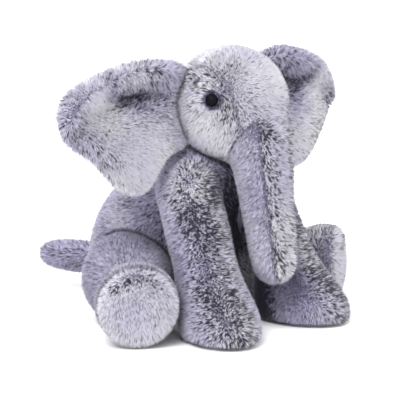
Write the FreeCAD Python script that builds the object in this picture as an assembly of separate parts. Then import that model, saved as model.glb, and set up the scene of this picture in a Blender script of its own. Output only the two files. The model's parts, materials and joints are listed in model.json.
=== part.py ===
import FreeCAD, Part
import math
import os

# Plush elephant sitting with its legs spread, facing -Y. Millimetres, +Z up.
# Origin: on the floor, at the middle of the object's outline.
# side is +1 for the elephant's left (+X) and -1 for its right.

V = FreeCAD.Vector
os.makedirs("parts", exist_ok=True)

SKIN = 3.0           # plush fabric, backing and flattened pile
SEAT_GAP = 1.0       # room between a limb and the pocket it is sewn into
CHEST_GAP = 2.0      # room between the chest and the hanging trunk
EAR_GAP = 1.5        # room between the head and an ear's root
ORIGIN_Y = 65.9      # design coordinates to the middle of the outline

HEAD_C = V(0, -25, 221)
HEAD_R = 57.0

TRUNK_C = V(0, -66, 186)
TRUNK_DIR = V(0, -0.17, -0.985)
TRUNK_R = 31.0
TRUNK_PROFILE = [(0, 31), (25, 29.2), (60, 26), (95, 23.8), (118, 22)]
TRUNK_LENGTH = 139.0

# Torso: height, centre Y, half width in X, half depth in Y
TORSO = [
    (0, 73, 44, 42), (7, 72.5, 60, 58), (22, 72, 71, 71), (48, 71, 76, 78), (80, 66, 77, 78),
    (112, 54, 70, 75), (140, 34, 60, 66), (163, 14, 50, 54), (182, 2, 40, 42), (194, -4, 28, 30),
]
# Belly gusset seen from the front: height and half width
BELLY = [(-5, 30), (60, 30), (110, 12), (200, 12)]

# Front leg: height, centre X and Y, half length, half width
FRONT_LEG = [
    (0, 60, -70, 44, 32), (6, 60, -70, 48.5, 35.5), (18, 59, -69, 49.5, 36.5),
    (34, 58, -64, 45, 35), (52, 56.5, -55, 36.5, 32), (75, 54, -43, 31.5, 30.5),
    (100, 51, -31, 32, 31.5), (125, 48.5, -20, 31.5, 31), (138, 47, -14, 31, 30.9),
]
TOE_OUT = 17.0
SHOULDER_R = 31.5

HIP = (72.0, 46.0, 46.0)
HIP_R = 46.5
REAR_SOLE = {1: (150.0, -50.5, 44.5), -1: (143.5, -48.5, 39.5)}   # the left foot is kicked up a little
REAR_PROFILE = [(0, 46.5), (22, 43), (48, 35), (66, 32.5), (82, 36), (96, 40.5), (106, 41)]
REAR_LENGTH = 119.0  # of the leg that the profile is drawn for
SOLE_DEPTH = 9.0     # how far the sole's seam lies behind its middle

TAIL_ROOT = V(0, 145, 40)
TAIL_TIP = V(-22, 250, 37)
TAIL_R = 13.0
TAIL_PROFILE = [(0, 13), (22, 15.5), (50, 18), (75, 17)]
TAIL_TURNS = (-25, 0, 25)

EAR_ROOT = (54.0, -5.0, 218.0)
EAR_LEAN = 6.0       # the lower lobe stands forward of the ear's top
EAR_SWEEP = 3.0      # the tip stands back from the root
EAR_HALF = 7.0       # half the padded ear's thickness
EAR_EDGE = 2.5       # half its thickness at the hem
# Ear seen from the front: distance outwards and height, from its root
EAR_OUTLINE = [
    (-22, 34), (-8, 45), (12, 49), (40, 51), (76, 46), (112, 35), (137, 19), (145, 2),
    (143, -12), (133, -27), (114, -42), (97, -58), (80, -73), (61, -81), (45, -80),
    (34, -70), (24, -57), (9, -44), (-22, -29),
]
# Degrees that an ear and the tail turn: their roots stay clear at each of these
EAR_TURNS = (-25, -12, 0, 10, 20)

EYE_AZ = 64.3        # from straight ahead
EYE_EL = 7.5
EYE_R = 6.2
EYE_PROUD = 4.6
EYE_SUNK = 1.6       # how far the eye pulls the fabric in
STEM_R = 1.8
STEM_LENGTH = 9.0
WASHER_R = 8.0
WASHER_T = 1.6

# Crown gusset seen from the front: height and half width
CROWN = [(300, 36), (262, 38), (225, 35), (180, 22)]

POUCH_C = V(0, 98, 25)
POUCH_R = 34.0
POUCH_HALF = 14.0
POUCH_T = 1.0


def unit(v):
    return v * (1.0 / v.Length)


def ellipse_wire(centre, a, b, turn):
    """Level ellipse whose long half-axis a points along turn degrees from -Y towards +X."""
    angle = math.radians(turn)
    along = V(math.sin(angle), -math.cos(angle), 0)
    across = V(math.cos(angle), math.sin(angle), 0)
    if b > a:
        a, b, along = b, a, across
    curve = Part.Ellipse(centre + along * a, centre + V(0, 0, 1).cross(along) * b, centre)
    return Part.Wire([curve.toShape()])


def turned(profile, end, start, direction, grow):
    """Solid of revolution about start + t * direction, closed with a round tip at end."""
    axis = unit(direction)
    side = unit(axis.cross(V(0.3, 0.2, 1)))
    points = [start + axis * t + side * (r + grow) for t, r in profile]
    last = profile[-1]
    run = end - last[0] + grow
    for bend in (30, 60, 80):
        s, c = math.sin(math.radians(bend)), math.cos(math.radians(bend))
        points.append(start + axis * (last[0] + run * s) + side * ((last[1] + grow) * c))
    tip = start + axis * (end + grow)
    points.append(tip)
    curve = Part.BSplineCurve()
    curve.interpolate(Points=points, InitialTangent=axis, FinalTangent=-side)
    edges = [curve.toShape(), Part.makeLine(tip, start), Part.makeLine(start, points[0])]
    face = Part.Face(Part.Wire(edges))
    return face.revolve(start, axis, 360)


def ball(centre, radius):
    return Part.makeSphere(radius, centre)


def slab(low, high):
    """Level box between two heights, wider than the whole object."""
    return Part.makeBox(900, 900, high - low, V(-450, -450, low))


def above_floor(shape, grow):
    """Cuts the base flat; a core, which has a negative grow, ends that much above the floor."""
    if grow > 0:
        return shape
    return shape.common(slab(-grow, 400))


def front_leg(side, grow):
    wires = []
    for z, x, y, a, b in FRONT_LEG:
        wires.append(ellipse_wire(V(side * x, y, z), a + grow, b + grow, side * TOE_OUT))
    z, x, y = FRONT_LEG[-1][:3]
    leg = Part.makeLoft(wires, True, False)
    return above_floor(leg.fuse(ball(V(side * x, y, z), SHOULDER_R + grow)), grow)


def rear_leg_line(side):
    """Hip, direction towards the sole, and the leg's length."""
    x, y, z = REAR_SOLE[side]
    hip = V(side * HIP[0], HIP[1], HIP[2])
    line = V(side * x, y, z) - hip
    return hip, unit(line), line.Length


def rear_leg(side, grow):
    hip, direction, length = rear_leg_line(side)
    profile = [(t * length / REAR_LENGTH, r) for t, r in REAR_PROFILE]
    leg = turned(profile, length, hip, direction, grow)
    return above_floor(leg.fuse(ball(hip, HIP_R + grow)), grow)


def trunk(grow):
    stem = turned(TRUNK_PROFILE, TRUNK_LENGTH, TRUNK_C, TRUNK_DIR, grow)
    return stem.fuse(ball(TRUNK_C, TRUNK_R + grow))


def tail(grow):
    length = (TAIL_TIP - TAIL_ROOT).Length
    stem = turned(TAIL_PROFILE, length, TAIL_ROOT, TAIL_TIP - TAIL_ROOT, grow)
    return stem.fuse(ball(TAIL_ROOT, TAIL_R + grow))


def tail_pocket():
    """Room for the tail at every angle it turns to."""
    turned_tails = []
    for turn in TAIL_TURNS:
        pocket = tail(SEAT_GAP)
        pocket.rotate(TAIL_ROOT, V(0, 0, 1), turn)
        turned_tails.append(pocket)
    return turned_tails[0].fuse(turned_tails[1:])


def torso(grow):
    wires = [ellipse_wire(V(0, y, z), a + grow, b + grow, 90) for z, y, a, b in TORSO]
    body = Part.makeLoft(wires, True, False)
    for side in (-1, 1):
        body = body.cut(front_leg(side, SEAT_GAP))
        body = body.cut(rear_leg(side, SEAT_GAP))
    body = body.cut(tail_pocket()).cut(ball(HEAD_C, HEAD_R + SEAT_GAP))
    return above_floor(body.cut(trunk(CHEST_GAP)), grow)


def head(grow):
    return ball(HEAD_C, HEAD_R + grow).cut(trunk(SEAT_GAP))


def ear_wire(scale, inset, out):
    """Closed ear outline in its own plane, shrunk about its middle; out is off the plane."""
    cu = sum(u for u, w in EAR_OUTLINE) / len(EAR_OUTLINE)
    cw = sum(w for u, w in EAR_OUTLINE) / len(EAR_OUTLINE)
    points = []
    for u, w in EAR_OUTLINE:
        far = math.hypot(u - cu, w - cw)
        k = scale * (1 - inset / far)
        points.append(V(cu + (u - cu) * k, out, cw + (w - cw) * k))
    curve = Part.BSplineCurve()
    curve.interpolate(Points=points, PeriodicFlag=True)
    return Part.Wire([curve.toShape()])


def ear(side, inset):
    """Padded ear: full outline at the middle plane, smaller on both faces."""
    half, edge = EAR_HALF - inset, EAR_EDGE - min(inset, EAR_EDGE - 0.6)
    wires = []
    for scale, out in ((0.80, -half), (0.93, -0.75 * half), (1.0, -edge), (1.0, edge),
                       (0.93, 0.75 * half), (0.80, half)):
        wires.append(ear_wire(scale, inset, out))
    flap = Part.makeLoft(wires, True, True)
    flap.rotate(V(0, 0, 0), V(1, 0, 0), -EAR_LEAN)
    flap.rotate(V(0, 0, 0), V(0, 0, 1), EAR_SWEEP)
    flap.translate(V(*EAR_ROOT))
    lean = math.radians(EAR_LEAN)
    hinge = V(0, math.sin(lean), math.cos(lean))
    for turn in EAR_TURNS:
        centre = V(*EAR_ROOT) + FreeCAD.Rotation(hinge, turn).multVec(HEAD_C - V(*EAR_ROOT))
        flap = flap.cut(ball(centre, HEAD_R + EAR_GAP + inset))
    if side < 0:
        flap = flap.mirror(V(0, 0, 0), V(1, 0, 0))
    return flap


def eye_frame(side):
    az, el = math.radians(EYE_AZ), math.radians(EYE_EL)
    out = V(side * math.sin(az) * math.cos(el), -math.cos(az) * math.cos(el), math.sin(el))
    return HEAD_C + out * (HEAD_R - EYE_SUNK), out


def eye(side):
    """Domed button with a stem that goes through the fabric."""
    seat, out = eye_frame(side)
    bulge = (EYE_R ** 2 + EYE_PROUD ** 2) / (2 * EYE_PROUD)
    base = seat + out * 0.4
    dome = ball(base - out * (bulge - EYE_PROUD), bulge)
    dome = dome.common(Part.makeCylinder(EYE_R, 20, base, out))
    rim = Part.makeCylinder(EYE_R, 1.2, base - out * 1.0, out)
    stem = Part.makeCylinder(STEM_R, STEM_LENGTH, base, out * -1)
    return dome.fuse([rim, stem])


def eye_hole(side):
    """What the fabric and the filling leave free for the eye and its washer."""
    seat, out = eye_frame(side)
    hole = Part.makeCylinder(STEM_R + 0.2, STEM_LENGTH + 1, seat + out, out * -1)
    rim = Part.makeCylinder(EYE_R + 0.2, 4, seat - out * 0.8, out)
    back = Part.makeCylinder(WASHER_R + 0.3, WASHER_T + 1.2, seat - out * 5.6, out)
    return hole.fuse([rim, back])


def washer(side):
    seat, out = eye_frame(side)
    ring = Part.makeCylinder(WASHER_R, WASHER_T, seat - out * 5.2, out)
    return ring.cut(Part.makeCylinder(STEM_R + 0.1, 8, seat - out * 8, out))


def half(side):
    return Part.makeBox(450, 900, 500, V(0 if side > 0 else -450, -450, -50))


def front_view(outline):
    """Prism through the whole object from a list of heights and half widths."""
    right = [V(-w, -200, z) for z, w in outline]
    left = [V(w, -200, z) for z, w in reversed(outline)]
    face = Part.Face(Part.makePolygon(right + left + [right[0]]))
    return face.extrude(V(0, 400, 0))


def belly_strip():
    """Region of the gusset: under and in front of a line from the seat's back to the throat."""
    line = [V(-100, 118, -5), V(-100, 40, 75), V(-100, 10, 200), V(-100, -150, 200)]
    face = Part.Face(Part.makePolygon(line + [V(-100, -150, -5), line[0]]))
    return face.extrude(V(200, 0, 0)).common(front_view(BELLY))


def crown_strip():
    """Region of the gusset over the crown and forehead."""
    return front_view(CROWN)


def wedge(side_a, side_b, centre, direction):
    """Quadrant-like region in front of two planes through the trunk's axis."""
    axis = unit(direction)
    start = centre - axis * 60
    reach = 120
    tips = []
    for turn in (side_a, side_b):
        angle = math.radians(turn)
        tips.append(start + V(math.sin(angle), -math.cos(angle), 0) * reach)
    middle = start + V(0, -reach * 1.5, 0)
    face = Part.Face(Part.makePolygon([start, tips[0], middle, tips[1], start]))
    return face.extrude(axis * 320)


def save(name, shape):
    solids = shape.Solids
    solid = solids[0] if len(solids) == 1 else Part.makeCompound(solids)
    solid = solid.removeSplitter() if len(solids) == 1 else solid
    moved = solid.copy()
    moved.translate(V(0, -ORIGIN_Y, 0))
    moved.exportStep("parts/" + name + ".step")
    print(name, len(solids), round(solid.Volume), solid.isValid())


def save_torso():
    outer, core = torso(0), torso(-SKIN)
    skin = outer.cut(core)
    strip = belly_strip()
    save("belly_gusset", skin.common(strip))
    sides = skin.cut(strip)
    save("torso_skin_left", sides.common(half(1)))
    save("torso_skin_right", sides.common(half(-1)))
    bag = Part.makeSphere(POUCH_R)
    squash = FreeCAD.Matrix()
    squash.scale(1, 1, POUCH_HALF / POUCH_R)
    bag = bag.transformGeometry(squash)
    inner = Part.makeSphere(POUCH_R - POUCH_T)
    squash_in = FreeCAD.Matrix()
    squash_in.scale(1, 1, (POUCH_HALF - POUCH_T) / (POUCH_R - POUCH_T))
    inner = inner.transformGeometry(squash_in)
    bag.translate(POUCH_C)
    inner.translate(POUCH_C)
    save("torso_fill", core.cut(bag))
    save("seat_pouch", bag.cut(inner))
    save("seat_pellets", inner)


def save_head():
    outer, core = head(0), head(-SKIN)
    holes = eye_hole(1).fuse(eye_hole(-1))
    skin = outer.cut(core).cut(holes)
    strip = crown_strip()
    save("head_gusset", skin.common(strip))
    sides = skin.cut(strip)
    save("head_skin_left", sides.common(half(1)))
    save("head_skin_right", sides.common(half(-1)))
    save("head_fill", core.cut(holes))
    for side, word in ((1, "left"), (-1, "right")):
        save("eye_" + word, eye(side))
        save("eye_washer_" + word, washer(side))


def save_trunk():
    outer, core = trunk(0), trunk(-SKIN)
    skin = outer.cut(core)
    front = wedge(-48, 48, TRUNK_C, TRUNK_DIR)
    save("trunk_front_panel", skin.common(front))
    save("trunk_under_panel", skin.cut(front))
    save("trunk_fill", core)


def save_ear(side, word):
    outer, core = ear(side, 0), ear(side, SKIN)
    skin = outer.cut(core)
    lean = Part.makeBox(600, 300, 600, V(-300, -300, -300))
    lean.rotate(V(0, 0, 0), V(1, 0, 0), -EAR_LEAN)
    lean.rotate(V(0, 0, 0), V(0, 0, 1), EAR_SWEEP)
    lean.translate(V(*EAR_ROOT))
    if side < 0:
        lean = lean.mirror(V(0, 0, 0), V(1, 0, 0))
    save("ear_" + word + "_front", skin.common(lean))
    save("ear_" + word + "_back", skin.cut(lean))
    save("ear_" + word + "_fill", core)


def save_front_leg(side, word):
    outer, core = front_leg(side, 0), front_leg(side, -SKIN)
    skin = outer.cut(core)
    name = "front_leg_" + word
    save(name + "_sole", skin.common(slab(-1, SKIN)))
    upper = skin.common(slab(SKIN, 300))
    out = Part.makeBox(300, 600, 400, V(0 if side > 0 else -300, -300, 0))
    out.rotate(V(0, 0, 0), V(0, 0, 1), side * TOE_OUT)
    out.translate(V(side * FRONT_LEG[1][1], FRONT_LEG[1][2], 0))
    save(name + "_outer", upper.common(out))
    save(name + "_inner", upper.cut(out))
    save(name + "_fill", core)


def save_rear_leg(side, word):
    outer, core = rear_leg(side, 0), rear_leg(side, -SKIN)
    skin = outer.cut(core)
    name = "rear_leg_" + word
    hip, axis, length = rear_leg_line(side)
    cap = Part.makeCylinder(80, 40, hip + axis * (length - SOLE_DEPTH), axis)
    save(name + "_sole", skin.common(cap))
    leg = skin.cut(cap)
    top = slab(HIP[2] - 3, 300)
    save(name + "_upper", leg.common(top))
    save(name + "_lower", leg.cut(top))
    save(name + "_fill", core)


def save_tail():
    outer, core = tail(0), tail(-SKIN)
    skin = outer.cut(core)
    top = slab(TAIL_ROOT.z - 1, 300)
    save("tail_upper", skin.common(top))
    save("tail_lower", skin.cut(top))
    save("tail_fill", core)


save_torso()
save_head()
save_trunk()
save_tail()
for side, word in ((1, "left"), (-1, "right")):
    save_ear(side, word)
    save_front_leg(side, word)
    save_rear_leg(side, word)
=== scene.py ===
import json
import math

import bpy
import numpy as np
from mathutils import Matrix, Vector
from mathutils.bvhtree import BVHTree
from mathutils.kdtree import KDTree


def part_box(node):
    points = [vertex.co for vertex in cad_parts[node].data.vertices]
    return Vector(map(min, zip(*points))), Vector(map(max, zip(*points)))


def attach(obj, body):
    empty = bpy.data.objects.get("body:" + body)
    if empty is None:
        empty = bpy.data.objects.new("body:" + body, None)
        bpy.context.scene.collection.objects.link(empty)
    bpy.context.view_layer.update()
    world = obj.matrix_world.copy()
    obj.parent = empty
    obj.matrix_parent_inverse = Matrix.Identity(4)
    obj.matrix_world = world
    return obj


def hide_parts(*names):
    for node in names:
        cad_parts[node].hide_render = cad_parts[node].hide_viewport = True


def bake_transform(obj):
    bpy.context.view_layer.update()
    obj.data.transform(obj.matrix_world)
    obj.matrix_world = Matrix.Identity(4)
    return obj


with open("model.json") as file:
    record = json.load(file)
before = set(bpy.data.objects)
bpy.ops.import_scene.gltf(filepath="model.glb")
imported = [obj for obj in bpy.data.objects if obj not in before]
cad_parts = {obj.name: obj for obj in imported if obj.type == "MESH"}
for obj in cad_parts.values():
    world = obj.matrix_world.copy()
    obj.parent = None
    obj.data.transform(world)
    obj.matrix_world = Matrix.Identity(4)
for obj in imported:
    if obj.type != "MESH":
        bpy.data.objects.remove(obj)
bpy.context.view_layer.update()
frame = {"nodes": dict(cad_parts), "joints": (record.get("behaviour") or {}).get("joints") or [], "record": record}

MM = 1000.0
JOINT = {j["name"]: np.array(j["pos_m"], float) * MM for j in frame["joints"]}
BODIES = frame["record"]["behaviour"]["bodies"]

HEAD_C = JOINT["neck_nod"]
TRUNK_C = JOINT["trunk_swing"]
TRUNK_DIR = np.array([0, -0.17, -0.985])  # down, and a little forwards
TRUNK_DIR /= np.linalg.norm(TRUNK_DIR)
HEAD_R = 57.0

# The sewn shape, in millimetres and degrees
TRUNK_ALONG = (0, 25, 60, 95, 139)      # distances from the trunk's root
TRUNK_RADII = (31, 29.2, 26, 23.8, 18)  # the trunk's radius at each
TRUNK_SEAM = 48.0                       # seam's angle each side of the trunk's front
CROWN = ((300, 36), (262, 38), (225, 35), (180, 22))  # crown gusset: height and half width
CROWN_END = 180.0                       # the crown gusset's lower end
BELLY = ((-5, 30), (60, 30), (110, 12), (200, 12))    # belly gusset: height and half width
EAR_LEAN, EAR_SWEEP = 6.0, 3.0
EAR_MIDDLE = np.array([70.0, -10.0])    # outwards and upwards from the ear's root
EAR_TRIM = 3.5                          # how far the ear's edge is drawn in
FOOT_OUT, FOOT_AHEAD = 60.0, 56.0       # front foot from the middle, and ahead of the shoulder
FOOT_TURN = 17.0                        # how far each front foot points outwards
REAR_RIM = 37.0                         # radius of a rear sole's seam
TAIL_AXIS = (-22.0, 105.0, -3.0)

# The cloth
FORM_VOXEL = 3.0             # voxel of the skin round one stuffed piece
WHOLE_VOXEL = 4.0            # voxel of the skin round the whole toy
BALD = 4.2                   # how far the cloth lies under the pile's surface
CLOTH_VOXEL = 5.0            # the simulated cloth's voxel
CLOTH_FRAMES = 20
CLOTH_PRESSURE = 4.0
CLOTH_MASS = 0.01            # of each point of the simulated cloth
CLOTH_CAP = 2.0              # furthest that the simulation may move the cloth
SEAM_HOLD = 3.0              # the seams, and the cloth this near the floor, are held still
WASHER_COVER = 54.0          # least radius of the head's cloth over an eye's washer
FLOOR_CLEAR = 1.2            # height of the cloth of a part that rests on the floor
JOINED = ("torso", "front_leg_left", "front_leg_right")  # forms whose pile grows on one shared skin

# The pile
SPACING = 0.52  # square mm of cloth per strand
HIDDEN = 15.0                # cloth this deep in a neighbour carries no pile
PILE = 6.0                   # a strand's length away from the seams, before its jitter
STRAND_R = 0.44              # radius of a strand's root, before its jitter
FLOW_JITTER, AIM_JITTER = 0.12, 0.06  # spread of the strands' lie and of their direction
ROOT_DEPTH = 1.0             # how far a strand starts under the cloth
TIP_CLEAR = 0.3              # height of the lowest strands over the floor
EYE_REACH, EYE_BARE = 14.0, 4.6    # the pile parts this near an eye, and stops this near

rng = np.random.default_rng(7)


# ------------------------------------------------------------------ small helpers

def unit(v):
    return v / np.maximum(np.linalg.norm(v, axis=-1, keepdims=True), 1e-9)


def smooth(x, low, high):
    t = np.clip((x - low) / (high - low), 0, 1)
    return t * t * (3 - 2 * t)


TABLE = np.random.default_rng(11).random((64, 64, 64)).astype(np.float32)


def noise(p, scale, shift=0.0, stretch=(1, 1, 1)):
    """Smooth 3D value noise from 0 to 1; scale is in mm."""
    q = p / (scale * np.array(stretch)) + shift
    i = np.floor(q).astype(int)
    f = q - i
    f = f * f * (3 - 2 * f)
    out = np.zeros(len(p), np.float32)
    for dx in (0, 1):
        for dy in (0, 1):
            for dz in (0, 1):
                w = (np.where(dx, f[:, 0], 1 - f[:, 0]) * np.where(dy, f[:, 1], 1 - f[:, 1])
                     * np.where(dz, f[:, 2], 1 - f[:, 2]))
                out += w * TABLE[(i[:, 0] + dx) % 64, (i[:, 1] + dy) % 64, (i[:, 2] + dz) % 64]
    return out


def mesh_object(name, points, faces):
    """A mesh object from points in mm and faces that all have as many corners."""
    mesh = bpy.data.meshes.new(name)
    faces = np.asarray(faces, np.int32)
    mesh.vertices.add(len(points))
    mesh.vertices.foreach_set("co", (np.asarray(points, np.float32) / MM).ravel())
    n, k = faces.shape
    mesh.loops.add(n * k)
    mesh.loops.foreach_set("vertex_index", faces.ravel())
    mesh.polygons.add(n)
    mesh.polygons.foreach_set("loop_start", np.arange(0, n * k, k, dtype=np.int32))
    mesh.update(calc_edges=True)
    obj = bpy.data.objects.new(name, mesh)
    bpy.context.scene.collection.objects.link(obj)
    return obj


def arrays(mesh):
    """A mesh's points in mm, and its triangles."""
    co = np.zeros(len(mesh.vertices) * 3, np.float32)
    mesh.vertices.foreach_get("co", co)
    mesh.calc_loop_triangles()
    tri = np.zeros(len(mesh.loop_triangles) * 3, np.int32)
    mesh.loop_triangles.foreach_get("vertices", tri)
    return co.reshape(-1, 3).astype(float) * MM, tri.reshape(-1, 3)


def vertex_normals(points, tri):
    face = np.cross(points[tri[:, 1]] - points[tri[:, 0]], points[tri[:, 2]] - points[tri[:, 0]])
    out = np.zeros_like(points)
    for k in range(3):
        np.add.at(out, tri[:, k], face)
    return unit(out)


def relax(points, tri, rounds, weight=0.5, where=None):
    """Laplacian smoothing; where is a per-point weight."""
    edges = np.vstack([tri[:, [0, 1]], tri[:, [1, 2]], tri[:, [2, 0]]])
    edges = np.vstack([edges, edges[:, ::-1]])
    count = np.bincount(edges[:, 0], minlength=len(points))[:, None]
    k = weight if where is None else weight * where[:, None]
    for _ in range(rounds):
        total = np.zeros_like(points)
        np.add.at(total, edges[:, 0], points[edges[:, 1]])
        points = points + k * (total / np.maximum(count, 1) - points)
    return points


def largest_island(points, tri):
    """The connected part with the most triangles."""
    label = np.arange(len(points))
    while True:
        low = label[tri].min(1)
        new = label.copy()
        for k in range(3):
            np.minimum.at(new, tri[:, k], low)
        new = new[new]
        if (new == label).all():
            break
        label = new
    keep = np.bincount(label[tri[:, 0]]).argmax()
    used = np.flatnonzero(label == keep)
    index = np.full(len(points), -1)
    index[used] = np.arange(len(used))
    return points[used], index[tri[label[tri[:, 0]] == keep]]


def closed_form(nodes, voxel):
    """One closed skin round these CAD nodes together."""
    points, faces, base = [], [], 0
    for n in nodes:
        p, t = arrays(frame["nodes"][n].data)
        points.append(p)
        faces.append(t + base)
        base += len(p)
    obj = mesh_object("raw", np.vstack(points), np.vstack(faces))
    mod = obj.modifiers.new("remesh", "REMESH")
    mod.mode = "VOXEL"
    mod.voxel_size = voxel / MM
    bpy.context.view_layer.update()
    mesh = bpy.data.meshes.new_from_object(obj.evaluated_get(bpy.context.evaluated_depsgraph_get()))
    out = largest_island(*arrays(mesh))
    bpy.data.objects.remove(obj)
    bpy.data.meshes.remove(mesh)
    return out


# ------------------------------------------------------------------ materials

def nodes_of(name):
    mat = bpy.data.materials.new(name)
    mat.use_nodes = True
    tree = mat.node_tree
    return mat, tree, tree.nodes["Principled BSDF"]


def speckle(tree, scale):
    """Noise texture fixed to the object; scale is in cells per metre."""
    coords = tree.nodes.new("ShaderNodeTexCoord")
    node = tree.nodes.new("ShaderNodeTexNoise")
    node.inputs["Scale"].default_value = scale
    tree.links.new(coords.outputs["Object"], node.inputs["Vector"])
    return node


def ramp(tree, stops, factor):
    node = tree.nodes.new("ShaderNodeValToRGB")
    node.color_ramp.elements.remove(node.color_ramp.elements[0])
    node.color_ramp.elements[0].position = stops[0][0]
    node.color_ramp.elements[0].color = (*stops[0][1], 1)
    for place, colour in stops[1:]:
        e = node.color_ramp.elements.new(place)
        e.color = (*colour, 1)
    tree.links.new(factor, node.inputs[0])
    return node.outputs[0]


def math_node(tree, op, a, b=None):
    node = tree.nodes.new("ShaderNodeMath")
    node.operation = op
    for k, x in enumerate((a, b)):
        if x is None:
            continue
        if isinstance(x, (int, float)):
            node.inputs[k].default_value = x
        else:
            tree.links.new(x, node.inputs[k])
    return node.outputs[0]


def mix(tree, factor, a, b, blend="MIX"):
    node = tree.nodes.new("ShaderNodeMix")
    node.data_type = "RGBA"
    node.blend_type = blend
    for socket, x in ((node.inputs[0], factor), (node.inputs[6], a), (node.inputs[7], b)):
        if isinstance(x, (int, float)):
            socket.default_value = x
        elif isinstance(x, tuple):
            socket.default_value = (*x, 1)
        else:
            tree.links.new(x, socket)
    return node.outputs[2]


def srgb(r, g, b):
    return tuple(((c / 255 + 0.055) / 1.055) ** 2.4 for c in (r, g, b))


TINTS = 8


def pile_material():
    """Colour along each strand: dark root, lilac shaft, silver tip.

    The UV layer's u holds the tint step and the tone, and v the way up the strand.
    """
    mat, tree, shader = nodes_of("plush_pile")
    uv = tree.nodes.new("ShaderNodeUVMap")
    uv.uv_map = "OFBake"
    split = tree.nodes.new("ShaderNodeSeparateXYZ")
    tree.links.new(uv.outputs[0], split.inputs[0])
    steps = math_node(tree, "MULTIPLY", split.outputs[0], TINTS)
    tint = math_node(tree, "DIVIDE", math_node(tree, "FLOOR", steps), TINTS - 1)
    tone = math_node(tree, "FRACT", steps)
    up = split.outputs[1]
    dark = ramp(tree, [(0.0, srgb(12, 10, 20)), (0.5, srgb(26, 22, 36)), (1.0, srgb(50, 44, 62))], up)
    light = ramp(tree, [(0.0, srgb(160, 157, 176)), (0.22, srgb(208, 206, 220)), (0.5, srgb(240, 239, 247)),
                        (1.0, srgb(255, 255, 255))], up)
    fur = mix(tree, tone, dark, light)
    cool = mix(tree, 0.8, fur, srgb(212, 206, 240), "MULTIPLY")
    colour = mix(tree, tint, fur, cool)
    tree.links.new(colour, shader.inputs["Base Color"])
    shader.inputs["Roughness"].default_value = 0.75
    shader.inputs["Specular IOR Level"].default_value = 0.25
    shader.inputs["Sheen Weight"].default_value = 0.35
    shader.inputs["Sheen Roughness"].default_value = 0.4
    shader.inputs["Sheen Tint"].default_value = (0.85, 0.85, 0.95, 1)
    return mat


def cloth_material():
    """The knitted backing and the dark pile roots on it."""
    mat, tree, shader = nodes_of("plush_backing")
    fine = speckle(tree, 420)
    fine.inputs["Detail"].default_value = 4
    broad = speckle(tree, 45)
    colour = ramp(tree, [(0.3, srgb(96, 90, 114)), (0.7, srgb(150, 145, 168))], fine.outputs[0])
    colour = mix(tree, broad.outputs[0], colour, srgb(128, 122, 148))
    tree.links.new(colour, shader.inputs["Base Color"])
    bump = tree.nodes.new("ShaderNodeBump")
    bump.inputs["Strength"].default_value = 0.6
    bump.inputs["Distance"].default_value = 0.001
    tree.links.new(fine.outputs[0], bump.inputs["Height"])
    tree.links.new(bump.outputs[0], shader.inputs["Normal"])
    shader.inputs["Roughness"].default_value = 0.95
    shader.inputs["Sheen Weight"].default_value = 0.3
    return mat


def eye_material():
    mat, tree, shader = nodes_of("eye_gloss")
    grain = speckle(tree, 900)
    colour = ramp(tree, [(0.35, (0.004, 0.004, 0.005)), (0.7, (0.009, 0.008, 0.010))], grain.outputs[0])
    tree.links.new(colour, shader.inputs["Base Color"])
    rough = ramp(tree, [(0.3, (0.18, 0.18, 0.18)), (0.8, (0.26, 0.26, 0.26))], grain.outputs[0])
    tree.links.new(rough, shader.inputs["Roughness"])
    shader.inputs["Specular IOR Level"].default_value = 0.03
    return mat


def plain_material(name, low, high, scale, roughness):
    """Speckled matte material for the inner pieces."""
    mat, tree, shader = nodes_of(name)
    grain = speckle(tree, scale)
    tree.links.new(ramp(tree, [(0.3, low), (0.7, high)], grain.outputs[0]), shader.inputs["Base Color"])
    bump = tree.nodes.new("ShaderNodeBump")
    bump.inputs["Distance"].default_value = 0.0005
    tree.links.new(grain.outputs[0], bump.inputs["Height"])
    tree.links.new(bump.outputs[0], shader.inputs["Normal"])
    shader.inputs["Roughness"].default_value = roughness
    return mat


# ------------------------------------------------------------------ cloth forms

def trunk_split(p):
    """How much nearer the trunk than the head a point is, its angle from the trunk's front, and radius."""
    rel = p - TRUNK_C
    t = np.maximum(rel @ TRUNK_DIR, 0)
    off = rel - t[:, None] * TRUNK_DIR
    radius = np.linalg.norm(off, axis=1)
    to_trunk = radius - np.interp(t, TRUNK_ALONG, TRUNK_RADII)
    to_head = np.linalg.norm(p - HEAD_C, axis=1) - HEAD_R
    side = rel - (rel @ TRUNK_DIR)[:, None] * TRUNK_DIR
    front = np.array([0, -1, 0]) - (np.array([0, -1, 0]) @ TRUNK_DIR) * TRUNK_DIR
    front /= np.linalg.norm(front)
    angle = np.degrees(np.arctan2(np.abs(side[:, 0]), side @ front))
    return to_head - to_trunk, angle, radius


def crown_gap(p):
    """Signed distance from the crown gusset's seam: negative on the gusset."""
    heights = [z for z, _ in CROWN][::-1]
    halves = [w for _, w in CROWN][::-1]
    return np.abs(p[:, 0]) - np.interp(p[:, 2], heights, halves)


def ear_frame(side):
    """Axes of the ear's plane: outwards, backwards, upwards."""
    lean, sweep = math.radians(EAR_LEAN), math.radians(EAR_SWEEP)
    out = np.array([side * math.cos(sweep), math.sin(sweep), 0])
    up = np.array([0, math.sin(lean), math.cos(lean)])
    up = unit(up - (up @ out) * out)
    back = np.cross(up, out) * side
    return out, back, up


# The ear's top edge, from its root: outwards and upwards
EAR_TOP = np.array([(-22, 38), (-8, 45), (12, 49), (40, 51),
                    (76, 46), (112, 35), (137, 19), (145, 2)], float)


def away(points, line):
    """Distance of 2D points from a polyline."""
    best = np.full(len(points), 1e9)
    for a, b in zip(line[:-1], line[1:]):
        d = b - a
        t = np.clip(((points - a) @ d) / (d @ d), 0, 1)
        best = np.minimum(best, np.linalg.norm(points - a - t[:, None] * d, axis=1))
    return best


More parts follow.
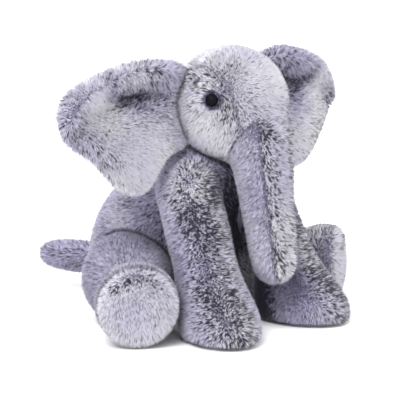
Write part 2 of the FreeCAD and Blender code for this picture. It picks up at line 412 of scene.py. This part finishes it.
def ear_shape(points, tri, side):
    """Rolls the top rim forward, cups the hollow under it, pads the lower lobe and curls the tip back.

    The left ear's tip curls further than the right's, and it sits a little higher away from its root.
    """
    root = JOINT["ear_left_flap" if side > 0 else "ear_right_flap"]
    out, back, up = ear_frame(side)
    rel = points - root
    u, v, w = rel @ out, rel @ back, rel @ up
    mid_u, mid_w = EAR_MIDDLE
    far = np.hypot(u - mid_u, w - mid_w)
    k = 1 - EAR_TRIM / np.maximum(far, 20) * smooth(u, -2, 14)
    u, w = mid_u + (u - mid_u) * k, mid_w + (w - mid_w) * k
    near = away(np.c_[u, w], EAR_TOP)
    roll = np.exp(-((near - 12) / 9) ** 2)
    hollow = np.exp(-((near - 33) / 10) ** 2) * (1 - smooth(u, 55, 115)) * smooth(u, -5, 15)
    pad = np.exp(-((u - 62) / 38) ** 2 - ((w + 34) / 30) ** 2)
    thick = 0.45 + 0.75 * roll * smooth(u, -6, 12) - 0.2 * hollow + 0.3 * pad
    v = v * thick
    v = v - (9 * roll - 9 * hollow + 4 * pad) * smooth(u, -12, 22)
    if side < 0:
        v = v + 5 * smooth(u, 100, 145)
    else:
        v = v + (20 - 9 * smooth(-w, 5, 35)) * smooth(u, 60, 145) ** 1.5
        w = w + 6 * smooth(u, -5, 50)
    points = root + u[:, None] * out + v[:, None] * back + w[:, None] * up
    return relax(points, tri, 2)


def outer_nodes(bodies):
    """The CAD nodes of these bodies that make up their outside and filling."""
    return [n for b in bodies for n in BODIES[b] if not n.startswith(("eye", "seat"))]


def shrink(points, tri, inset):
    """The skin moved inwards in two steps, each evened out."""
    for _ in range(2):
        points = points - vertex_normals(points, tri) * inset / 2
        points = relax(points, tri, 2)
    return points


def form(name, bodies):
    """The cloth of one stuffed piece: the CAD skins' outside, less the pile's depth."""
    points, tri = closed_form(outer_nodes(bodies), FORM_VOXEL)
    points = relax(points, tri, 6)
    if name.startswith("ear"):
        points = ear_shape(points, tri, 1 if "left" in name else -1)
    else:
        if name == "head":
            crease = np.exp(-(trunk_split(points)[0] / 9) ** 2)
            points = relax(points, tri, 30, 0.5, crease)
        points = shrink(points, tri, BALD)
    if name == "head":
        for k in (1, -1):
            rel = points - HEAD_C
            far = np.linalg.norm(rel, axis=1)
            facing = smooth(rel @ eye_direction(k) / far, 0.95, 0.98)
            points = points + rel * (facing * (WASHER_COVER / far - 1).clip(0))[:, None]
    points[:, 2] = np.maximum(points[:, 2], FLOOR_CLEAR)
    return points, tri


def press_out(name, points, tri):
    """Cloth simulation of one form, pressed out by its filling and held at its seams and on the floor.

    Gives the points of a coarser copy and each one's move, no longer than CLOTH_CAP.
    """
    obj = mesh_object(name + "_cloth", points, tri)
    remesh = obj.modifiers.new("remesh", "REMESH")
    remesh.mode = "VOXEL"
    remesh.voxel_size = CLOTH_VOXEL / MM
    scene = bpy.context.scene
    graph = bpy.context.evaluated_depsgraph_get()
    coarse = bpy.data.meshes.new_from_object(obj.evaluated_get(graph))
    obj.modifiers.clear()
    obj.data = coarse
    start, faces = arrays(coarse)
    seam = pattern(name, start, vertex_normals(start, faces))[2]
    held = np.maximum(np.exp(-(seam / SEAM_HOLD) ** 2), start[:, 2] < SEAM_HOLD)
    group = obj.vertex_groups.new(name="held")
    for k in np.flatnonzero(held > 0.02).tolist():
        group.add([k], float(held[k]), "REPLACE")
    cloth = obj.modifiers.new("cloth", "CLOTH")
    cloth.settings.vertex_group_mass = "held"
    cloth.settings.use_pressure = True
    cloth.settings.uniform_pressure_force = CLOTH_PRESSURE
    cloth.settings.effector_weights.gravity = 0
    cloth.settings.mass = CLOTH_MASS
    cloth.collision_settings.use_collision = False
    cloth.point_cache.frame_start = 1
    cloth.point_cache.frame_end = CLOTH_FRAMES
    for f in range(1, CLOTH_FRAMES + 1):
        scene.frame_set(f)
    graph = bpy.context.evaluated_depsgraph_get()
    moved = obj.evaluated_get(graph).to_mesh()
    end, _ = arrays(moved)
    scene.frame_set(1)
    bpy.data.objects.remove(obj)
    move = end - start
    far = np.linalg.norm(move, axis=1)
    return start, move * np.minimum(1, CLOTH_CAP / np.maximum(far, 1e-6))[:, None]


def follow(points, cloth):
    """Points moved with the four points of the simulated cloth nearest to each."""
    places, moves = cloth
    tree = KDTree(len(places))
    for k, place in enumerate(places):
        tree.insert(place, k)
    tree.balance()
    out = points.copy()
    for k, p in enumerate(points):
        near = tree.find_n(p, 4)
        weight = np.array([1 / (far + 0.5) for _, _, far in near])
        out[k] += (moves[[i for _, i, _ in near]] * weight[:, None]).sum(0) / weight.sum()
    return out


def eye_direction(side):
    """From the head's centre to the middle of an eye; side is 1 for the left."""
    low, high = (np.array(c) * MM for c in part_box("eye_left" if side > 0 else "eye_right"))
    return unit((low + high) / 2 - HEAD_C)


def surface(points, tri):
    return BVHTree.FromPolygons(points.tolist(), tri.tolist())


def depth_in(tree, points):
    """Signed distance of each point from a closed skin, positive inside it."""
    out = np.zeros(len(points))
    for k, p in enumerate(points.tolist()):
        place, normal, _, far = tree.find_nearest(p)
        out[k] = far if (Vector(p) - place).dot(normal) < 0 else -far
    return out


def shoulders(parts):
    """One skin over the torso and both front legs, drawn smoothly across the shoulders.

    Also gives each point's distance from each of the three forms.
    """
    points, tri = closed_form(outer_nodes(JOINED), FORM_VOXEL)
    points = relax(points, tri, 6)
    trees = [surface(*parts[n]) for n in JOINED]
    gaps = np.stack([np.abs(depth_in(t, points)) for t in trees])
    crease = np.exp(-((gaps[0] + gaps[1:].min(0) - 2 * BALD) / 9).clip(0) ** 2) * (points[:, 2] > 100)
    points = relax(points, tri, 40, 0.5, crease)
    points = shrink(points, tri, BALD)
    points[:, 2] = np.maximum(points[:, 2], FLOOR_CLEAR)
    return points, tri, np.stack([np.abs(depth_in(t, points)) for t in trees])


# ------------------------------------------------------------------ pile

def sample(points, tri, spacing):
    """Evenly scattered places on a skin: the face and the weight of its three corners."""
    a, b, c = (points[tri[:, k]] for k in range(3))
    area = np.linalg.norm(np.cross(b - a, c - a), axis=1) / 2
    total = int(area.sum() / spacing)
    face = rng.choice(len(tri), total, p=area / area.sum())
    s, t = rng.random(total), rng.random(total)
    flip = s + t > 1
    s[flip], t[flip] = 1 - s[flip], 1 - t[flip]
    return tri[face], np.c_[1 - s - t, s, t]


def spread(values, corners, weights):
    """Vertex values carried to the sampled places."""
    w = weights if values.ndim == 1 else weights[:, :, None]
    return (values[corners] * w).sum(1)


def strands(name, root, normal, flow, length, lean, tone, tint, clump):
    """Fine three-sided strands, each drawn towards a neighbour so that the pile clumps."""
    n = len(root)
    flow = unit(flow - (flow * normal).sum(1)[:, None] * normal + rng.normal(0, FLOW_JITTER, (n, 3)))
    lean = np.radians(lean)[:, None]
    along = unit(normal * np.cos(lean) + flow * np.sin(lean) + rng.normal(0, AIM_JITTER, (n, 3)))
    tip = root + along * length[:, None]
    seeds = rng.choice(n, max(1, n // 12), replace=False)
    tree = KDTree(len(seeds))
    for k, s in enumerate(seeds):
        tree.insert(root[s], k)
    tree.balance()
    leader = np.array([seeds[tree.find(r)[1]] for r in root])
    pull = (clump * rng.uniform(0.5, 1.1, n))[:, None]
    tip = tip + (tip[leader] - tip) * pull
    fall = np.maximum(root[:, 2] - tip[:, 2], 1e-6)
    tip = root + (tip - root) * np.minimum(1, (root[:, 2] - TIP_CLEAR).clip(0.1) / fall)[:, None]
    low = root - normal * ROOT_DEPTH
    low[:, 2] = np.maximum(low[:, 2], TIP_CLEAR)
    across = unit(np.cross(along, normal + rng.normal(0, 0.3, (n, 3))))
    other = unit(np.cross(along, across))
    turn = rng.uniform(0, 2 * math.pi, n)
    thick = STRAND_R * rng.uniform(0.7, 1.3, n)
    points = np.zeros((n, 4, 3))
    radial = np.zeros((n, 4, 3))
    for k in range(3):
        a = turn + k * 2 * math.pi / 3
        ray = across * np.cos(a)[:, None] + other * np.sin(a)[:, None]
        points[:, k] = low + ray * thick[:, None]
        radial[:, k] = ray
    points[:, 3] = tip
    radial[:, 3] = 0
    shade = unit(radial * 0.5 + normal[:, None, :])
    one = [(0, 1, 3), (1, 2, 3), (2, 0, 3)]
    faces = (np.array(one)[None] + 4 * np.arange(n)[:, None, None]).reshape(-1, 3)
    obj = mesh_object(name, points.reshape(-1, 3), faces)
    mesh = obj.data
    step = np.clip(np.floor(tint * TINTS), 0, TINTS - 1)
    u = (step + 0.04 + 0.92 * np.clip(tone, 0, 1)) / TINTS
    v = np.array([0.02, 0.02, 0.02, 0.98])
    uv = np.zeros((n, 4, 2), np.float32)
    uv[:, :, 0] = u[:, None]
    uv[:, :, 1] = v[None]
    layer = mesh.uv_layers.new(name="OFBake")
    layer.uv.foreach_set("vector", uv.reshape(-1, 2)[faces.ravel()].ravel())
    mesh.polygons.foreach_set("use_smooth", np.ones(len(faces), bool))
    mesh.normals_split_custom_set_from_vertices(shade.reshape(-1, 3))
    mesh.materials.append(PILE_MAT)
    return obj


def patches(local, spots):
    """Sums of round patches: (centre, radius, change of tone, change of the share of dark strands, which makes
    flecks and, in some spots, painted shade).
    """
    tone, fleck_and_shade = np.zeros(len(local)), np.zeros(len(local))
    for centre, radius, more_tone, more_fleck_and_shade in spots:
        near = np.exp(-((local - np.array(centre, float)) ** 2).sum(1) / radius ** 2)
        tone += more_tone * near
        fleck_and_shade += more_fleck_and_shade * near
    return tone, fleck_and_shade


# Offsets from the head's centre: outwards, backwards, upwards. The spot at (20, -46, 26) is a painted highlight on
# the forehead: lighter pile with fewer dark strands.
HEAD_SPOTS = [
    ((38, -40, -12), 24, 0.02, 0.14), ((50, -14, -30), 26, 0.12, -0.26), ((46, 6, 34), 20, 0.0, 0.12),
    ((20, -46, 26), 17, 0.16, -0.14), ((0, -40, 40), 26, 0.10, -0.04), ((50, 20, 0), 22, -0.08, -0.08),
    ((44, -32, 6), 12, -0.04, 0.10), ((40, -30, 28), 16, 0.0, 0.14), ((50, -8, 24), 18, -0.04, 0.12),
]
# In the ear's plane: outwards, backwards, upwards from its root. The first three spots, in a band under the rolled
# top rim, are painted shadow of the rim: darker pile with more dark strands.
EAR_SPOTS = [
    ((50, 0, 12), 13, -0.40, 0.26), ((68, 0, 15), 10, -0.40, 0.30), ((86, 0, 22), 9, -0.30, 0.24),
    ((34, 0, 32), 14, 0.06, 0.16), ((24, 0, 8), 16, -0.18, 0.06), ((108, 0, 22), 16, 0.10, -0.10),
    ((50, 0, -54), 36, 0.34, -0.16), ((90, 0, 0), 30, 0.18, -0.08), ((14, 0, -22), 22, -0.14, -0.04),
    ((132, 0, -10), 18, 0.02, 0.12), ((96, 0, -46), 20, 0.04, 0.12), ((80, 0, 44), 30, 0.04, 0.0),
]
# Offsets from the shoulder: outwards, backwards, upwards. The spot inwards of the shoulder, at (-18, -26, 6), is
# painted shade where the leg meets the chest.
FRONT_LEG_SPOTS = [
    ((16, -24, 14), 20, 0.14, -0.20), ((22, -62, -108), 24, -0.04, 0.16), ((16, -30, -26), 22, -0.02, 0.08),
    ((34, -52, -122), 18, 0.12, -0.12), ((-18, -26, 6), 20, -0.26, 0.30), ((-10, -30, -40), 18, 0.0, 0.10),
]
# Offsets from the middle of the seat's base: outwards, backwards, upwards. The two spots on the middle line, on
# the chest and low between the front legs, are painted shade: they darken the pile, and between the legs they turn
# nearly all of its strands dark.
TORSO_SPOTS = [
    ((64, -8, 118), 14, -0.06, 0.16), ((0, -70, 130), 46, -0.44, 0.36), ((0, -60, 60), 44, -0.5, 1.1),
    ((60, 20, 80), 26, -0.14, 0.0), ((72, -12, 96), 22, 0.10, -0.10),
]


def head_pattern(p, normal):
    nearer, angle, radius = trunk_split(p)
    gap = crown_gap(p)
    on_trunk = nearer > 0
    front = on_trunk & (angle < TRUNK_SEAM)
    under = on_trunk & ~front
    crown = ~on_trunk & (gap < 0) & (p[:, 2] > CROWN_END)
    panel = np.select([front, under, crown, p[:, 0] > 0], [0, 1, 2, 3], 4)
    seam = np.where(on_trunk, radius * np.abs(np.radians(angle - TRUNK_SEAM)), np.abs(gap))
    seam = np.minimum(seam, np.where(angle > TRUNK_SEAM - 8, np.abs(nearer), 99))
    flow = np.tile([0.0, 0.0, -1.0], (len(p), 1))
    flow[:, 1] = np.where(on_trunk, -0.1, np.where(p[:, 1] < HEAD_C[1], -0.35, 0.5))
    flow[:, 1] = np.where(panel >= 3, 0.25, flow[:, 1])
    tone = np.select([front, under, crown], [0.90, 0.72, 1.0], 0.92)
    fleck_and_shade = np.select([front, under, crown], [0.26, 0.19, 0.24], 0.31)
    band = smooth(angle, 2, 22)
    fleck_and_shade = fleck_and_shade + np.where(front, 0.17 * band, 0)
    tone = tone + np.where(front, 0.08 * band, 0)
    rel = p - HEAD_C
    local = np.c_[np.abs(rel[:, 0]), rel[:, 1:]]
    more_tone, more_fleck_and_shade = patches(local, HEAD_SPOTS)
    tone = tone + np.where(on_trunk, 0, more_tone)
    fleck_and_shade = fleck_and_shade + np.where(on_trunk, 0, more_fleck_and_shade)
    names = ["trunk_front_panel", "trunk_under_panel", "head_gusset", "head_skin_left", "head_skin_right"]
    return names, panel, seam, flow, tone, fleck_and_shade


def torso_pattern(p, normal):
    half = np.interp(p[:, 2], *zip(*BELLY))
    in_front = normal[:, 1] < 0.4
    panel = np.select([(np.abs(p[:, 0]) < half) & in_front, p[:, 0] > 0], [0, 1], 2)
    seam = np.where(in_front, np.abs(np.abs(p[:, 0]) - half), np.abs(p[:, 0]))
    flow = np.tile([0.0, 0.3, -1.0], (len(p), 1))
    local = np.c_[np.abs(p[:, 0]), p[:, 1:]]
    more_tone, more_fleck_and_shade = patches(local, TORSO_SPOTS)
    names = ["belly_gusset", "torso_skin_left", "torso_skin_right"]
    return names, panel, seam, flow, 0.68 + more_tone, 0.24 + more_fleck_and_shade


def ear_pattern(name, p, normal):
    k = 1 if "left" in name else -1
    out, back, up = ear_frame(k)
    rel = p - JOINT[name + "_flap"]
    panel = np.where(normal @ back < 0, 0, 1)
    u, w = rel @ out, rel @ up
    flow = -up + out * 0.35 * smooth(u, 20, 90)[:, None] - out * 0.3 * (1 - smooth(u, 20, 60))[:, None]
    more_tone, more_fleck_and_shade = patches(np.c_[u, 0 * u, w], EAR_SPOTS)
    seam = np.linalg.norm(p - HEAD_C, axis=1) - HEAD_R + 1
    far = 0.08 * (k > 0)
    return ([name + "_front", name + "_back"], panel, seam.clip(0), flow,
            0.84 - far + more_tone, 0.27 + far + more_fleck_and_shade)


def front_leg_pattern(name, p, normal):
    k = 1 if "left" in name else -1
    turn = math.radians(FOOT_TURN * k)
    shoulder = JOINT[name + "_swing"]
    toe = np.array([math.sin(turn), -math.cos(turn), 0])
    across = np.array([math.cos(turn), math.sin(turn), 0])
    middle = np.array([k * FOOT_OUT, shoulder[1] - FOOT_AHEAD, 0])
    x = (p - middle) @ across * k
    panel = np.where(p[:, 2] < 4, 2, np.where(x > 0, 0, 1))
    seam = np.minimum(np.abs(x), np.abs(p[:, 2] - 5))
    flow = np.tile(toe * 0.15 + [0, 0, -1], (len(p), 1))
    round_angle = np.degrees(np.arctan2(normal @ across * k, normal @ toe))
    band = np.exp(-((round_angle - 8) / 62) ** 4)
    rel = p - shoulder
    local = np.c_[rel[:, 0] * k, rel[:, 1:]]
    more_tone, more_fleck_and_shade = patches(local, FRONT_LEG_SPOTS)
    # Painted shade: the leg's inner side, facing the other leg and the chest, is made darker and given many more
    # dark strands.
    inner = smooth(-round_angle, 95, 125)
    tone = 0.68 + 0.22 * band - 0.35 * inner
    return ([name + "_outer", name + "_inner", name + "_sole"], panel, seam, flow,
            tone + more_tone, 0.20 + 0.26 * band + 0.8 * inner + more_fleck_and_shade)


def rear_leg_pattern(name, p, normal):
    k = 1 if "left" in name else -1
    hip = JOINT[name + "_splay"]
    low, high = (np.array(c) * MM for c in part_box(name + "_sole"))
    axis = unit((low + high) / 2 - hip)
    length = ((low + high) / 2 - hip) @ axis
    t = (p - hip) @ axis
    on_sole = (t > length - 6) & (normal @ axis > 0.35)
    panel = np.where(on_sole, 2, np.where(p[:, 2] > hip[2] - 3, 0, 1))
    off = p - hip - t[:, None] * axis
    rim = np.linalg.norm(off, axis=1)
    seam = np.where(t > length - 18, np.abs(rim - REAR_RIM), 1.8 + np.abs(p[:, 2] - hip[2] + 3))
    flow = np.where(on_sole[:, None], [0, 0, -1.0], axis * 0.6 + np.array([0, 0, -0.6]))
    crescent = np.exp(-((rim - 28) / 4) ** 2) * smooth(off[:, 2], 10, 22)
    ankle = np.exp(-((t - length + 32) / 20) ** 2) * smooth(normal[:, 2], 0, 0.6)
    tone = np.where(on_sole, 1.0, (0.82 if k > 0 else 0.60) + 0.2 * ankle)
    fleck_and_shade = np.where(on_sole, 0.17 + 0.34 * crescent, 0.25 + 0.2 * ankle)
    return ([name + "_upper", name + "_lower", name + "_sole"], panel, seam, flow, tone, fleck_and_shade)


def tail_pattern(p, normal):
    root = JOINT["tail_wag"]
    axis = unit(np.array(TAIL_AXIS))
    panel = np.where(p[:, 2] > root[2] - 1, 0, 1)
    seam = 1.8 + np.abs(p[:, 2] - root[2] + 1)
    flow = np.tile(axis + [0, 0, -0.3], (len(p), 1))
    n = len(p)
    return ["tail_upper", "tail_lower"], panel, seam, flow, np.full(n, 0.54), np.full(n, 0.32)


def pattern(name, p, normal):
    """Panel names, each root's panel, seam distance, lie, tone and share of dark strands: the dark flecks, and
    painted shade on the chest and between the front legs.
    """
    if name.startswith("ear"):
        return ear_pattern(name, p, normal)
    if name.startswith("front_leg"):
        return front_leg_pattern(name, p, normal)
    if name.startswith("rear_leg"):
        return rear_leg_pattern(name, p, normal)
    return {"head": head_pattern, "torso": torso_pattern, "tail": tail_pattern}[name](p, normal)


def part_round_eyes(root, flow, tone):
    """The pile parts round each eye, and is darker there."""
    keep = np.ones(len(root), bool)
    for k in (1, -1):
        out = eye_direction(k)
        rel = root - HEAD_C
        far = np.linalg.norm(np.cross(rel, out), axis=1)
        near = (rel @ out > 0) & (far < EYE_REACH)
        keep &= ~(near & (far < EYE_BARE))
        push = unit(rel - (rel @ out)[:, None] * out)
        flow = np.where(near[:, None], flow + push * (3 * smooth(13 - far, 0, 8))[:, None], flow)
        tone = np.where(near, tone - 0.9 * smooth(10 - far, 0, 4), tone)
    return keep, flow, tone


def grow_pile(name, root, normal):
    """Pile on one form, one piece for each sewn panel; the cover stands for a panel without any."""
    names, panel, seam, flow, tone, fleck_and_shade = pattern(name, root, normal)
    keep = ~((root[:, 2] < 5) & (normal[:, 2] < -0.3))
    if name == "head":
        clear, flow, tone = part_round_eyes(root, flow, tone)
        keep &= clear
    n = len(root)
    broad = noise(root, 30, 3.1)
    patch = noise(root, 11, 9.7)
    grain = 0.87 * noise(root, 1.1, 5.3, (1, 1, 1.3)) + 0.13 * rng.random(n)
    tuft = noise(root, 1.0, 21.0, (1, 1, 1.2))
    share = fleck_and_shade + 0.14 * (broad - 0.5) + 0.16 * (patch - 0.5)
    deep = smooth(share - grain, -0.01, 0.02)
    tint = 1.08 - 0.82 * smooth(tone, 0.45, 1.05) + 0.7 * (noise(root, 36, 13.0) - 0.5)
    tint = tint + 0.2 * (rng.random(n) - 0.5)
    tone = tone + 0.22 * (broad - 0.5) + 0.14 * (patch - 0.5) + 1.1 * (tuft - 0.5)
    tone = tone + 0.2 * (rng.random(n) - 0.5)
    cut = smooth(seam, 0.3, 2.8)
    tone = (tone - 0.4 * (1 - cut)) * (1 - 0.97 * deep)
    length = PILE * (0.6 + 0.4 * cut) * rng.uniform(0.8, 1.15, n) * (1 + 0.14 * deep)
    lean = 20 + 14 * (patch - 0.5) + rng.normal(0, 3, n)
    clump = 0.05 + 0.20 * noise(root, 9, 17.0)
    made = []
    for k, node in enumerate(names):
        pick = keep & (panel == k)
        if not pick.any():
            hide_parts(node)
            continue
        obj = strands(node + "_pile", root[pick], normal[pick], flow[pick], length[pick], lean[pick],
                      tone[pick], tint[pick], clump[pick])
        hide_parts(node)
        made.append(obj)
    return made


# ------------------------------------------------------------------ the stuffed pieces

PILE_MAT = pile_material()
CLOTH_MAT = cloth_material()

FORMS = {"head": ["head", "trunk"], "torso": ["torso"], "tail": ["tail"]}
for side in ("left", "right"):
    for limb in ("ear", "front_leg", "rear_leg"):
        FORMS[f"{limb}_{side}"] = [f"{limb}_{side}"]

shrunk = {name: form(name, bodies) for name, bodies in FORMS.items()}
parts = dict(shrunk)
cloths = {}
for name, (points, tri) in shrunk.items():
    cloths[name] = press_out(name, points, tri)
    parts[name] = follow(points, cloths[name]), tri
whole = surface(*closed_form(outer_nodes(list(BODIES)), WHOLE_VOXEL))


def roots_on(points, tri, extra=None):
    """Roots of the strands on a skin, where no neighbour hides it."""
    corners, weights = sample(points, tri, SPACING)
    normals = vertex_normals(points, tri)
    shown = spread(depth_in(whole, points), corners, weights) < HIDDEN
    corners, weights = corners[shown], weights[shown]
    root, normal = spread(points, corners, weights), unit(spread(normals, corners, weights))
    return root, normal, None if extra is None else spread(extra, corners, weights)


joined_points, joined_tri, joined_gaps = shoulders(shrunk)
for k, name in enumerate(JOINED if cloths else ()):
    mine = joined_gaps.argmin(0) == k
    joined_points[mine] = follow(joined_points[mine], cloths[name])
joined_root, joined_normal, gaps = roots_on(joined_points, joined_tri, joined_gaps.T)
owner = gaps.argmin(1)

for name, (points, tri) in parts.items():
    cover = mesh_object(name + "_form", points, tri)
    cover.data.polygons.foreach_set("use_smooth", np.ones(len(tri), bool))
    cover.data.materials.append(CLOTH_MAT)
    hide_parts(*[body + "_fill" for body in FORMS[name]])
    if name in JOINED:
        mine = owner == JOINED.index(name)
        root, normal = joined_root[mine], joined_normal[mine]
    else:
        root, normal, _ = roots_on(points, tri)
    pieces = [cover] + grow_pile(name, root, normal)
    for piece in pieces:
        if name == "head":
            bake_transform(piece)
        elif name.startswith("front_leg"):
            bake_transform(piece)
        else:
            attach(piece, FORMS[name][0])

# ------------------------------------------------------------------ the CAD pieces that are kept

EYE_MAT = eye_material()
POUCH_MAT = plain_material("pouch_weave", srgb(196, 190, 178), srgb(222, 217, 205), 1500, 0.9)
PELLET_MAT = plain_material("pellet_plastic", srgb(205, 205, 205), srgb(235, 235, 235), 500, 0.5)
WASHER_MAT = plain_material("washer_plastic", srgb(190, 190, 192), srgb(215, 215, 218), 300, 0.5)
for node, obj in frame["nodes"].items():
    mat = None
    if node in ("eye_left", "eye_right"):
        mat = EYE_MAT
    elif "washer" in node:
        mat = WASHER_MAT
    elif node == "seat_pouch":
        mat = POUCH_MAT
    elif node == "seat_pellets":
        mat = PELLET_MAT
    if mat is not None:
        obj.data.materials.clear()
        obj.data.materials.append(mat)

# ------------------------------------------------------------------ stage, light and camera

FLOOR_HALF = 6000.0
corners = np.array([(x * FLOOR_HALF, y * FLOOR_HALF, 0) for x, y in ((-1, -1), (1, -1), (1, 1), (-1, 1))])
floor = mesh_object("floor", corners, [(0, 1, 2, 3)])
mat, tree, shader = nodes_of("floor_paper")
grain = speckle(tree, 60)
tree.links.new(ramp(tree, [(0.3, (0.90, 0.90, 0.91)), (0.7, (0.93, 0.93, 0.935))], grain.outputs[0]),
               shader.inputs["Base Color"])
shader.inputs["Roughness"].default_value = 0.9
floor.data.materials.append(mat)

world = bpy.data.worlds.new("studio")
world.use_nodes = True
world.node_tree.nodes["Background"].inputs[0].default_value = (1.0, 1.0, 1.0, 1)
world.node_tree.nodes["Background"].inputs[1].default_value = 1.47
bpy.context.scene.world = world


def softbox(name, place, target, size, power):
    light = bpy.data.lights.new(name, "AREA")
    light.shape = "SQUARE"
    light.size = size
    light.energy = power
    obj = bpy.data.objects.new(name, light)
    obj.location = place
    obj.rotation_euler = (Vector(target) - Vector(place)).to_track_quat("-Z", "Y").to_euler()
    bpy.context.scene.collection.objects.link(obj)


def sunlight(name, place, strength, spread):
    light = bpy.data.lights.new(name, "SUN")
    light.energy = strength
    light.angle = math.radians(spread)
    obj = bpy.data.objects.new(name, light)
    obj.location = place
    obj.rotation_euler = Vector(place).to_track_quat("Z", "Y").to_euler()
    bpy.context.scene.collection.objects.link(obj)


sunlight("key_sun", (-1.0, -0.45, 1.3), 2.4, 25)
softbox("eye_light", (-0.9, -1.0, 1.1), (0, 0, 0.2), 0.12, 1.2)

AZIMUTH, ELEVATION, DISTANCE = -45.0, 8.0, 1.5  # degrees, degrees, metres
LENS = 135.0
TARGET_BACK, TARGET_HEIGHT = 25.0, 0.15         # mm behind the head's centre, and metres up
AIM_LEFT, AIM_DOWN = 0.012, 0.028               # metres from the target
a, e = math.radians(AZIMUTH), math.radians(ELEVATION)
towards = Vector((math.sin(a) * math.cos(e), -math.cos(a) * math.cos(e), math.sin(e)))
target = Vector((0, (HEAD_C[1] + TARGET_BACK) / MM, TARGET_HEIGHT))
right = Vector((math.cos(a), math.sin(a), 0))
up = towards.cross(right)
place = target + towards * DISTANCE
aim = target - right * AIM_LEFT - up * AIM_DOWN
camera = bpy.data.objects.new("camera", bpy.data.cameras.new("camera"))
camera.data.lens = LENS
camera.data.clip_start = 0.05
camera.location = place
camera.rotation_euler = (aim - place).to_track_quat("-Z", "Y").to_euler()
bpy.context.scene.collection.objects.link(camera)
bpy.context.scene.camera = camera
bpy.context.scene.view_settings.view_transform = "Standard"
